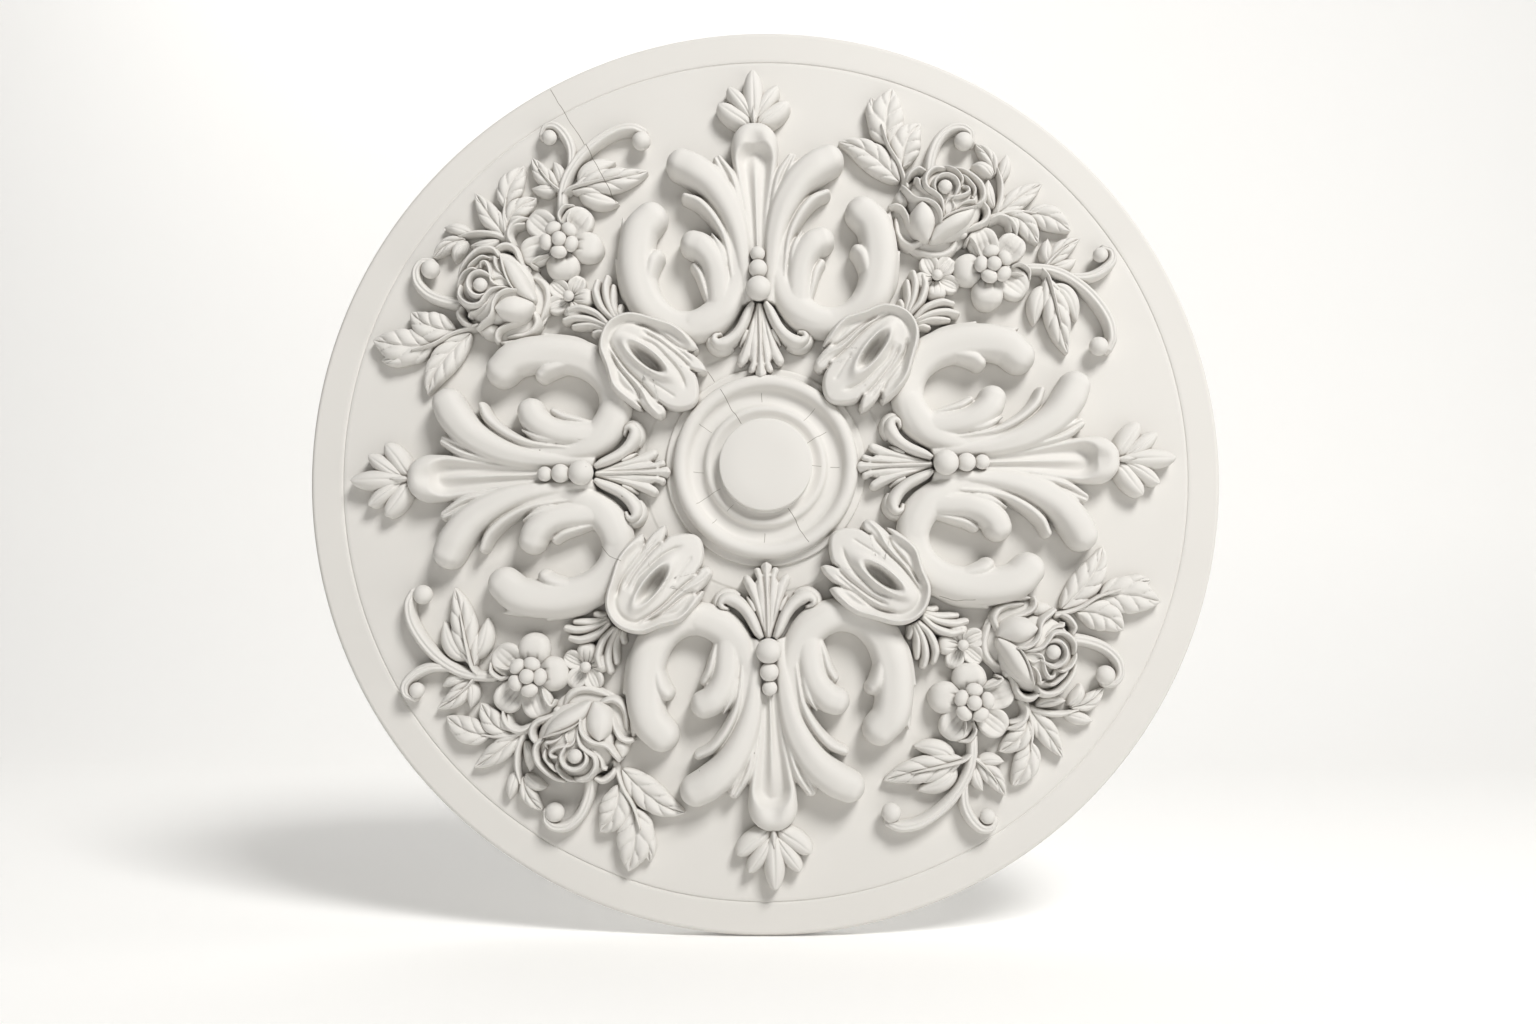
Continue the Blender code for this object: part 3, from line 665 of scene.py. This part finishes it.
# Shell on the diagonal, drawn in its own place
shell = {
    "triangles": 44000,
    # smooth stretches that meet in points: the rolled shoulder, then the inner side's tips and notches
    "outline": [
        [(50, 100), (52, 105.7), (56.8, 112.9), (62.6, 120), (69.3, 125), (76.8, 127.2), (85.1, 129.3),
            (92.3, 132.1), (99.5, 134.3), (107.7, 133.8), (116.1, 131), (122.5, 126.6), (127.2, 120.5),
            (130, 113.4), (130.6, 106.7), (129.5, 99.1), (127.2, 91.6), (124.7, 83.1), (122.1, 74.6),
            (117.9, 67.2), (112.4, 60.7), (105.9, 55.1), (100.4, 52)],
        [(100.4, 52), (98.2, 55.5), (97.9, 60.3)],
        [(97.9, 60.3), (95.2, 56), (91.7, 51.8), (87, 47.8), (81.7, 45.2)],
        [(81.7, 45.2), (80.2, 49), (80.8, 53.3), (82.4, 58.5)],
        [(82.4, 58.5), (79.1, 55.1), (73.9, 53.2), (65.9, 52.3), (58, 53.2), (52.8, 57), (50.3, 63.8),
            (50, 71.4), (52, 78.9), (56, 85.7)],
        [(56, 85.7), (54, 82.4), (50.1, 80.2), (45.8, 80.6), (43.2, 84.4), (44.2, 88.8), (49, 95),
            (56.2, 102.6)],
        [(56.2, 102.6), (53, 100), (50, 100)],
    ],
    "floor": [(70, 20), (90, 24.5), (110, 28), (130, 30.5), (150, 32), (180, 33)],
    # the sides fall by the first, so far from the diagonal
    "camber": (3.5, 36),
    "rim": {"height": 5, "inset": 3.4, "width": 2.5, "hollow": 2.2, "hollowInset": 5.4, "hollowWidth": 2.4},
    "eye": {"centre": (91.4, 94.6), "slant": 51.5, "halfLength": 16.5, "halfWidth": 5.2, "depth": 19,
        "lip": 0.86, "steepness": 7, "ring": 5, "ringPlace": 1.3, "ringWidth": 0.42},
    # line, depth, half width of the creases between the petals
    "creases": [
        ([(99, 125), (88.6, 119.8), (80.1, 114.2), (69.6, 105.9), (63, 102), (55.5, 100.5)], 3.2, 1),
        ([(107, 126), (92.3, 117.8), (82, 109.9), (73.2, 101.1), (64.7, 93.6), (56, 87)], 3.4, 1),
        ([(74, 94), (69.5, 86.5), (64, 78), (59.5, 71.5)], 1.3, 0.7),
        ([(108.5, 102), (103.3, 89.2), (93.3, 78.9), (83.7, 70.6), (75.2, 65.8), (66.8, 63.2)], 2.6, 1.1),
        ([(114.5, 99), (106.9, 85.3), (98.7, 74.6), (91.1, 65.7), (83, 58.5)], 3.2, 1),
        ([(117.5, 94), (110.1, 82.4), (102.4, 73.1), (94.7, 63.8), (88.6, 57)], 1.6, 0.8),
        ([(120.5, 105), (118.3, 93.6), (113.3, 84), (107.2, 76), (101.8, 68.4), (98, 59)], 3.2, 1),
    ],
    # line, height and half width of the narrow petal's back
    "ridges": [
        ([(104, 128), (90.5, 118.8), (81, 112), (71.4, 103.5), (63.8, 98), (54, 93), (46, 86)], 2, 1.6),
    ],
}


def shellRise(places):
    # height = floor that climbs outwards, a rolled rim along the shoulder, a ring round the eye's hollow,
    # creases of two widths that leave each petal rounded, and the narrow petal's back
    eye, rim = shell["eye"], shell["rim"]
    u, v = places.sum(axis=-1) / math.sqrt(2), (places[..., 0] - places[..., 1]) / math.sqrt(2)
    level, height = np.array(shell["floor"]).T
    fall, reach = shell["camber"]
    rise = np.interp(u, level, height) - fall * (v / reach) ** 2
    away, along = nearestOn(places, shell["outline"][0])
    strength = held(along / 0.1) * held((1 - along) / 0.1)
    rise += strength * (rim["height"] * bell(away - rim["inset"], rim["width"])
                        - rim["hollow"] * bell(away - rim["inset"] - rim["hollowInset"], rim["hollowWidth"]))
    slant = math.radians(eye["slant"])
    dx, dz = places[..., 0] - eye["centre"][0], places[..., 1] - eye["centre"][1]
    slot = np.hypot((dx * math.cos(slant) + dz * math.sin(slant)) / eye["halfLength"],
                    (dz * math.cos(slant) - dx * math.sin(slant)) / eye["halfWidth"])
    hollow = eye["depth"] / (1 + (slot / eye["lip"]) ** eye["steepness"])
    rise += eye["ring"] * bell(slot - eye["ringPlace"], eye["ringWidth"]) - hollow
    for line, depth, width in shell["creases"]:
        away, along = nearestOn(places, line)
        fade = held(along / 0.12) * held((1.02 - along) / 0.12)
        rise -= depth * fade * (0.85 * bell(away, width + 0.35) + 0.4 * bell(away, 3.6))
    for line, height, width in shell["ridges"]:
        away, along = nearestOn(places, line)
        rise += height * held(along / 0.15) * bell(away, width)
    return rise


# Fan behind the shell: its fingers from the longest, each repeated over the diagonal
fan = {
    "fingers": [
        ([(128.2, 123.8), (137.2, 132.6), (150.4, 137.7), (159.7, 136.3)], [3.4, 4, 4.2, 3.4],
            [17, 20, 20, 17.5]),
        ([(128.3, 122.3), (142.1, 128), (154.7, 129.8), (163.4, 128.2)], [3.6, 4.2, 4.2, 3.4],
            [16.5, 18, 18, 16]),
        ([(129.8, 120.4), (141, 123.8), (150.8, 123.6), (156.1, 123.2)], [3.4, 4, 3.8, 3], [14.5, 16, 15.5, 14]),
        ([(130.4, 117.7), (135.1, 118.5), (139.1, 117.3)], [3, 3.8, 3.4], [12.5, 14, 13]),
    ],
}


def fanCrisp():
    fingers = [carvedForm(*finger, rib, across=24) for finger in fan["fingers"]]
    return fingers + [overDiagonal(shape) for shape in fingers]


shellForm = reliefOver(shell["outline"], shell["eye"]["centre"], shellRise)
shellMesh = withCrisp("shell", [shellForm] + fanCrisp(), shell["triangles"])


# Flower spray, drawn for the upper right quarter
spray = {
    "triangles": 95000,
    "bigFlower": {
        # middle line, half widths, heights, and whether the petal is hollow or domed
        "petals": [
            ([(192.5, 173), (190, 181), (187, 189)], [7, 12, 13], [17, 20, 21], "hollow"),
            ([(200, 171), (206, 178), (211, 184)], [6.5, 11.5, 12.6], [16, 19, 20.5], "hollow"),
            ([(199, 163), (206, 158), (212, 152.5)], [6.5, 12, 13.6], [16, 19.5, 21], "hollow"),
            ([(192.5, 159), (191, 151), (190, 144.6)], [7, 12.6, 13.6], [17, 20, 20.5], "domed"),
            ([(187, 166), (180, 165.5), (175.2, 165)], [8, 13.6, 14.4], [17, 20, 20.5], "domed"),
        ],
        "folds": [
            ([(172.6, 186), (175.4, 191), (180, 185), (183, 177)], [1.6, 2.4, 2.6, 1.6], [18, 21, 22, 19]),
            ([(209.5, 166), (217, 168), (224.2, 163), (225, 156)], [1.8, 2.4, 2.6, 1.8], [19, 21, 21, 18]),
            ([(205, 160), (213, 160.5), (221, 158)], [1.2, 1.8, 1.2], [18, 19.5, 17]),
        ],
        "beads": [(192.1, 177.4), (203.2, 171.5), (201.9, 158.4), (190.1, 156.7), (183.7, 167)],
        "beadRadius": 5.8,
        "beadStretch": 1.22,
        "heart": (193.8, 166.4, 6.3, 26),
        "beadHeight": 23.5,
    },
    "smallFlower": {
        "petals": [
            ([(146, 162.5), (143.6, 167), (142, 170.5)], [4, 8, 8.6], [13, 17, 18], "hollow"),
            ([(150, 162), (153, 166), (156, 169.5)], [4, 8, 8.6], [13, 17, 18], "hollow"),
            ([(151, 158), (155.5, 155.5), (159, 153.6)], [4, 7.4, 8], [12, 16, 17], "hollow"),
            ([(147.6, 156.5), (147.4, 151), (147.2, 147.6)], [4, 7.6, 8.6], [13.5, 16.5, 17], "domed"),
            ([(144, 159), (139.5, 157.6), (136.6, 156.8)], [4, 7.8, 8.6], [13, 15.5, 16], "domed"),
        ],
        "folds": [],
        "beads": [],
        "heart": (147.6, 160, 4.6, 17.5),
    },
    # middle line, half width, heights, side grooves
    "leaves": [
        ([(119, 243), (108.5, 254.5), (94, 267), (81, 275), (68.5, 279)], 12.6, [11, 14, 16, 14.5, 9], 4.4),
        ([(110, 274), (108.5, 288), (109.5, 302), (112, 313.5), (115, 325)], 15.6, [11, 14.5, 16, 14.5, 9], 3.6),
        ([(105, 288), (101, 299), (98.5, 309), (97.5, 318)], 8, [10, 13, 13.5, 8], 2.2),
        ([(121.5, 255), (122.5, 266), (126, 278), (131, 286), (138, 293.5)], 13.6, [12, 15, 16.5, 15, 9], 3.6),
        ([(200, 248), (197.5, 258), (192.5, 267), (184.5, 275.5)], 6.6, [10, 13, 13, 8], 2.4),
        ([(198, 246), (192, 252.5), (186.5, 255.5), (180.5, 256.5)], 6, [10, 13.5, 13.5, 8], 0),
        ([(204, 242), (207.5, 251), (209.5, 258), (211, 266)], 6, [9, 12, 12, 7], 0),
        ([(198.5, 219), (194.5, 228), (194, 236), (194.5, 244)], 5.6, [10, 14, 13, 8], 0),
        ([(198, 212), (210, 220), (223, 229.5), (240, 240)], 9.4, [10, 14, 14, 8], 3),
        ([(227, 214), (237, 212.5), (249.5, 207.5), (262.5, 198.5)], 11.2, [10, 13.5, 14, 8], 3),
        ([(209, 212), (218.5, 208.5), (227, 200), (234.5, 188)], 9.8, [12, 15.5, 15, 9], 3),
        ([(240, 168), (249, 177.5), (258.5, 185.5), (270, 192)], 8, [10, 13, 13, 8], 2.6),
        ([(243.5, 169), (241, 178), (241.5, 185.5), (243, 192)], 6, [9, 12.5, 12, 8], 0),
        ([(245, 168), (253.5, 168), (260.5, 170.5), (266.5, 174)], 5.6, [9, 12, 11, 7], 0),
        ([(240, 152), (233.5, 143), (230, 131), (229, 118.5)], 8, [10, 14.5, 14, 8], 0),
        ([(245, 152), (254, 146.5), (260.5, 136), (265, 121)], 8, [10, 14.5, 14, 8], 0),
        ([(239.5, 158), (243.5, 144), (247, 130), (250, 114), (256, 93.5)], 11.4, [14, 16.5, 17, 16, 9], 4),
    ],
    "stems": [
        ([(104.5, 291), (110, 273), (117.5, 260), (121.5, 250), (125, 237)], [1.4, 2, 2.4, 2.6, 2.8],
            [17, 17, 15.5, 15, 16]),
        ([(199, 212), (204, 226), (205, 240), (202, 253)], [3.4, 3.2, 2.6, 1.4], [12, 13.5, 13.5, 12]),
        ([(188, 208), (203, 213), (218, 215), (233, 213.5)], [3.4, 3, 2.6, 1.6], [12, 13.5, 13.5, 12]),
        ([(192, 207), (202, 211), (209.5, 207), (211.5, 198)], [3.6, 4, 3.8, 2.4], [14, 16, 16, 13]),
        ([(238, 164.5), (243, 172), (251, 179.5), (259, 185)], [2.4, 2, 1.6, 1.2], [14, 14.5, 14.5, 13.5]),
        ([(236, 165), (241, 158), (244, 146), (247, 131), (250, 116)], [2.6, 2.4, 2.2, 1.8, 1.2],
            [16, 17.5, 18.5, 18.5, 16.5]),
    ],
    "tendrils": [
        ([(143.5, 247), (146.5, 264), (152.5, 278), (162, 287), (172.5, 288.8), (180, 284), (181, 276.5)],
            [5.2, 5, 4.8, 4.6, 4.2, 3.8, 3.4], [16, 15, 15, 15, 15, 15, 13], (174, 276.6, 8, 10.5)),
        ([(252, 160.5), (265, 158), (277, 158.5), (288, 163.5), (295.5, 171.5), (295, 179.5), (289, 183)],
            [2.4, 4, 4.6, 4.8, 4.4, 3.6, 3], [13, 14.5, 15, 15.5, 15.5, 15, 13], (286, 176.4, 6.4, 11)),
        ([(221, 166.5), (238.6, 165.5), (254, 160.5), (270, 149.5), (282.5, 135.5), (291, 120), (293, 106),
            (290, 97)], [4.4, 4.6, 4.8, 5, 5, 5, 4.8, 4.2], [15, 15.5, 15.5, 15.5, 15.5, 16, 16, 13],
            (281.5, 98.6, 8, 11)),
    ],
}


def leafShape(points, width, top, veins):
    if not veins:
        return carvedForm(points, leafOutline(width), top, leafletSection, False, tuck=0.2, step=1.2, across=26)
    return carvedForm(points, leafOutline(width), top, veined(veins), False, tuck=0.2, step=0.9, across=42,
                      pull=scallops(veins))


def domed(v, s):
    # full petal: round back with short creases that spread from the heart
    crease = bell(np.abs(v) - 0.3, 0.08) * held((0.55 - s) / 0.3)
    return roll(v, s, 3.4, 0.45) * (0.82 + 0.18 * held(s / 0.5)) - 0.1 * crease


def flowerShapes(flower):
    shapes = []
    for points, half, top, kind in flower["petals"]:
        section = cupped if kind == "hollow" else domed
        shapes.append(carvedForm(points, half, top, section, tuck=0.25, across=46, step=0.9))
    shapes += [carvedForm(*fold, rib, across=20, tuck=0.2) for fold in flower["folds"]]
    heart = flower["heart"]
    for x, z in flower["beads"]:
        angle = math.degrees(math.atan2(z - heart[1], x - heart[0])) + 90
        shapes.append(ball(x, z, flower["beadRadius"], flower["beadHeight"], flower["beadStretch"], angle))
    return shapes + [ball(*heart)]


rose = {
    # middle, radius, height at the edge and swell of the bloom and of the open petals round it
    "mounds": [((155.5, 220), 31.6, 10, 19), ((145.5, 211.5), 35.5, 6.5, 6.5)],
    # the folds of the petals stand on the mounds: line, half widths, heights
    "foldWidth": 1.22,
    "folds": [
        ([(109, 219), (114.3, 219.9), (119.7, 217.2), (123.6, 210.4), (126.3, 202), (131.6, 194.9), (137, 191)],
            [2, 2.6, 2.7, 2.7, 2.7, 2.6, 1.8], [18, 21, 22, 22, 22, 21, 18]),
        ([(114.8, 212), (115.2, 205), (115.8, 197.5), (119.7, 190.3), (126.5, 186.6), (133.5, 188.6),
            (138, 192)], [1.6, 2.6, 3, 3.2, 3.3, 3, 2], [12, 15, 16, 17, 17, 17, 14]),
        ([(127, 185.2), (135.6, 181), (145.5, 178), (154.9, 178.8), (162, 184), (165.4, 191.6)],
            [1.4, 3, 3.4, 3.5, 3.2, 2.2], [11, 14, 15, 15.5, 15, 12]),
        ([(124.2, 241), (126, 245.6), (130, 249.4), (135, 251.6), (139.6, 249.6)], [2, 2.7, 2.8, 2.8, 2.4],
            [17, 20, 21, 21, 19]),
        ([(130.4, 242), (133.4, 240.4), (134.8, 234.2), (138.9, 228), (145.9, 222.4)], [2, 2.5, 2.6, 2.5, 1.8],
            [22, 25, 26.5, 28, 27]),
        ([(164.9, 251.4), (172.7, 247.6), (180.8, 241.2), (186.4, 234.1), (188, 226.2), (186, 220.6),
            (181, 217.6)], [2, 2.9, 3.2, 3.3, 3.2, 3, 2.2], [19, 24, 26, 26.5, 26.5, 26, 24]),
        ([(167, 243), (171.4, 241), (175.8, 236.5), (179.9, 230.2), (178.8, 224.4)], [1.6, 2.3, 2.5, 2.5, 1.8],
            [27, 29, 29.5, 29, 26]),
        ([(155.5, 250.5), (160.6, 249), (166.2, 244.6), (169.6, 238.4), (168, 233.5)], [1.8, 2.4, 2.5, 2.5, 1.8],
            [25, 28, 30, 30, 28]),
        ([(187.4, 220), (191.3, 214.5), (190.9, 208.2), (186.6, 203.4), (179.9, 201), (173.5, 198)],
            [2.2, 2.9, 3.1, 3, 3, 2], [24, 22.5, 21.5, 21, 20, 18]),
        ([(163.7, 211.5), (167.9, 216.6), (173.4, 219), (178.4, 219.8), (177.4, 223.6)],
            [1.8, 2.3, 2.5, 2.5, 1.8], [28, 30, 31, 30.5, 27]),
        ([(158.8, 209.5), (162, 213.8), (160.6, 218.9)], [2, 2.8, 2], [28, 31, 31]),
        ([(154.7, 209), (154.6, 216.6), (157.8, 221.5), (163.1, 222.5), (169.3, 223.6), (174.1, 226.7),
            (173.3, 230.3), (170, 231)], [2, 2.5, 2.6, 2.6, 2.6, 2.6, 2.5, 2],
            [28, 31, 33, 34, 34, 33.5, 33, 31]),
        ([(157, 249), (148.3, 249.4), (142, 244.9), (138.6, 238), (139.8, 231), (145.5, 226.8), (150.4, 221.8),
            (152.4, 215.1), (152.6, 207.6)], [2.4, 3, 3, 3, 3, 3, 3, 2.8, 2],
            [24, 28, 31, 32.5, 33.5, 34, 34, 33, 30]),
        ([(147.2, 226.6), (145.3, 231.5), (146.8, 236.6), (151.6, 240), (157.5, 240.2), (163.1, 236.8),
            (165.6, 230.8), (163.6, 225), (160.6, 220.6)], [1.8, 2.6, 2.8, 2.9, 2.9, 2.9, 2.8, 2.6, 1.8],
            [33, 35.5, 37, 37.5, 37.5, 37.5, 37, 35.5, 33]),
        ([(119.8, 236), (123.8, 230.4), (127.7, 224.8), (132.6, 221.5), (140.2, 219.9), (146.6, 215.6),
            (150.3, 209), (150.8, 202)], [2.2, 2.8, 2.9, 2.9, 2.9, 2.9, 2.8, 2],
            [22, 27, 30, 32, 34, 34.5, 34, 31]),
        ([(149.5, 202.6), (156, 207), (165, 210.8), (173, 213), (180, 215)], [1.2, 1.7, 1.9, 1.8, 1.4],
            [31, 33, 33, 32, 29]),
    ],
    # egg-shaped front petal, the crescent beside it, and the little one behind on the left
    "petals": [
        ([(135.2, 219), (136.2, 209), (137, 200), (139.6, 187.6)], leafOutline(12.9, 0.5, 0.9),
            [31, 33.5, 32, 24]),
        ([(142.5, 187.2), (151.5, 196.5), (161.6, 202.6), (171, 208), (180, 215.6)],
            leafOutline(9.4, 0.52, 0.95), [24, 30, 32.5, 31, 26]),
        ([(122, 218), (120, 224.5), (118.4, 233.5)], leafOutline(7, 0.5, 0.85), [16, 19, 16]),
    ],
    "core": (154.2, 230.2, 5.9, 32.5),
    "knob": (170.8, 195.2, 3.8, 13),
    "curledLeaf": ([(193, 207.4), (201.1, 210.8), (209.6, 208), (214.8, 200.7), (215.6, 195)],
        [1.8, 2.6, 2.8, 2.6, 1.6], [15, 17, 17.5, 17, 14]),
}


def mound(middle, radius, edgeHeight, swell, rows=26, segments=72):
    # flattened dome under the petals, on a foot: height = edge + swell * sqrt(1 - share of radius squared)
    out = np.sin(np.linspace(math.pi / 2, 0.02, rows))
    size = np.concatenate([[radius * 0.9, radius * 0.97], radius * out])
    height = np.concatenate([[footDepth, 3.0], edgeHeight + swell * np.sqrt(1 - out ** 2)])
    return turnedSurface(np.column_stack([size, height]), segments, middle)


def roseShapes():
    shapes = [mound(*each) for each in rose["mounds"]] + [ball(*rose["core"]), ball(*rose["knob"])]
    for points, half, top in rose["folds"] + [rose["curledLeaf"]]:
        shapes.append(carvedForm(points, rose["foldWidth"] * np.array(half), top, rib, tuck=0.25, across=24))
    return shapes + [carvedForm(*petal, roll, False, tuck=0.3, across=40) for petal in rose["petals"]]


def sprayShapes():
    shapes = flowerShapes(spray["bigFlower"]) + flowerShapes(spray["smallFlower"]) + roseShapes()
    shapes += [leafShape(*leaf) for leaf in spray["leaves"]]
    shapes += [carvedForm(*stem, rib, across=16) for stem in spray["stems"]]
    for points, half, top, end in spray["tendrils"]:
        shapes += [carvedForm(points, half, top, fluted(0.08), across=22, tuck=0.2), ball(*end)]
    return shapes


sprayMesh = withCrisp("spray", sprayShapes(), spray["triangles"])


# Laying the ornament on the plate, a quarter turn apart: shift in mm, small turns in degrees
laying = {"shift": (-1.5, 0.0), "armTurn": 1.6, "sprayTurn": 1.0}


def laid(mesh, quarter, turn):
    copy = mesh.copy()
    move = Matrix.Translation((laying["shift"][0] * 0.001, 0, laying["shift"][1] * 0.001))
    copy.transform(move @ Matrix.Rotation(math.radians(90 * quarter - turn), 4, "Y"))
    return copy


for quarter in range(4):
    addPiece(f"arm_{quarter}", laid(armMesh, quarter, laying["armTurn"]))
    addPiece(f"shell_{quarter}", laid(shellMesh, quarter, laying["sprayTurn"]))
    addPiece(f"spray_{quarter}", laid(sprayMesh, quarter, laying["sprayTurn"]))
print("ornament laid")


# Floor, light and camera
studio = {
    "floorHeight": -0.3805,
    "floorFront": -4.0,
    "wallDistance": 1.9,
    "wallTop": 4.5,
    "bendRadius": 0.5,
    "paperWidth": 7.0,
    "paper": (0.93, 0.925, 0.91),
    "paperRoughness": 0.95,
    "paperGlow": 0.13,
    "worldColour": (1.0, 0.975, 0.94),
    "worldStrength": 0.085,
    # name: place, aim, size, watts, colour
    "lights": {
        "wash": ((-0.9, 0.7, 2.1), (-0.9, 1.9, 0.4), 1.2, 11.5, (1.0, 0.99, 0.975)),
        "key": ((1.45, -2.6, 2.55), (0, 0, 0), 1.2, 150, (1.0, 0.992, 0.98)),
    },
}


def backdrop():
    # floor that bends up into a wall: straight, quarter circle, straight, drawn out sideways
    radius, depth = studio["bendRadius"], studio["wallDistance"]
    bend = np.linspace(0, math.pi / 2, 24)
    y = np.concatenate([[studio["floorFront"]], depth - radius + radius * np.sin(bend), [depth]])
    z = np.concatenate([[0.0], radius - radius * np.cos(bend), [studio["wallTop"]]]) + studio["floorHeight"]
    edges = [np.full(len(y), side * studio["paperWidth"] / 2) for side in (-1, 1)]
    points = np.vstack([np.column_stack([edge, y, z]) for edge in edges])
    i = np.arange(len(y) - 1)
    faces = np.column_stack([i, i + len(y), i + len(y) + 1, i + 1])
    mesh = meshOf("backdrop", points, faces)
    mesh.shade_smooth()
    material = bpy.data.materials.new("paper")
    material.use_nodes = True
    shader = material.node_tree.nodes["Principled BSDF"]
    shader.inputs["Base Color"].default_value = (*studio["paper"], 1)
    shader.inputs["Roughness"].default_value = studio["paperRoughness"]
    shader.inputs["Emission Color"].default_value = (*studio["paper"], 1)
    shader.inputs["Emission Strength"].default_value = studio["paperGlow"]
    mesh.materials.append(material)
    sheet = bpy.data.objects.new("backdrop", mesh)
    bpy.context.scene.collection.objects.link(sheet)


backdrop()
world = bpy.data.worlds.new("studio")
bpy.context.scene.world = world
world.use_nodes = True
sky = world.node_tree.nodes["Background"]
sky.inputs["Color"].default_value = (*studio["worldColour"], 1)
sky.inputs["Strength"].default_value = studio["worldStrength"]

for name, (place, aim, size, watts, colour) in studio["lights"].items():
    light = bpy.data.lights.new(name, "AREA")
    light.shape = "SQUARE"
    light.size, light.energy, light.color = size, watts, colour
    lamp = bpy.data.objects.new(name, light)
    lamp.location = place
    lamp.rotation_euler = (Vector(aim) - Vector(place)).to_track_quat("-Z", "Y").to_euler()
    bpy.context.scene.collection.objects.link(lamp)

camera = {"place": (0.00215, -1.1520, -0.1348), "tiltUp": 5.07, "lens": 31.94, "sensorWidth": 36.0, "reach": 50}
data = bpy.data.cameras.new("camera")
data.lens, data.sensor_width, data.clip_end = camera["lens"], camera["sensorWidth"], camera["reach"]
eye = bpy.data.objects.new("camera", data)
eye.location = camera["place"]
eye.rotation_euler = (math.radians(90 + camera["tiltUp"]), 0, 0)
bpy.context.scene.collection.objects.link(eye)
bpy.context.scene.camera = eye
bpy.context.scene.view_settings.view_transform = "Standard"
print("studio set")
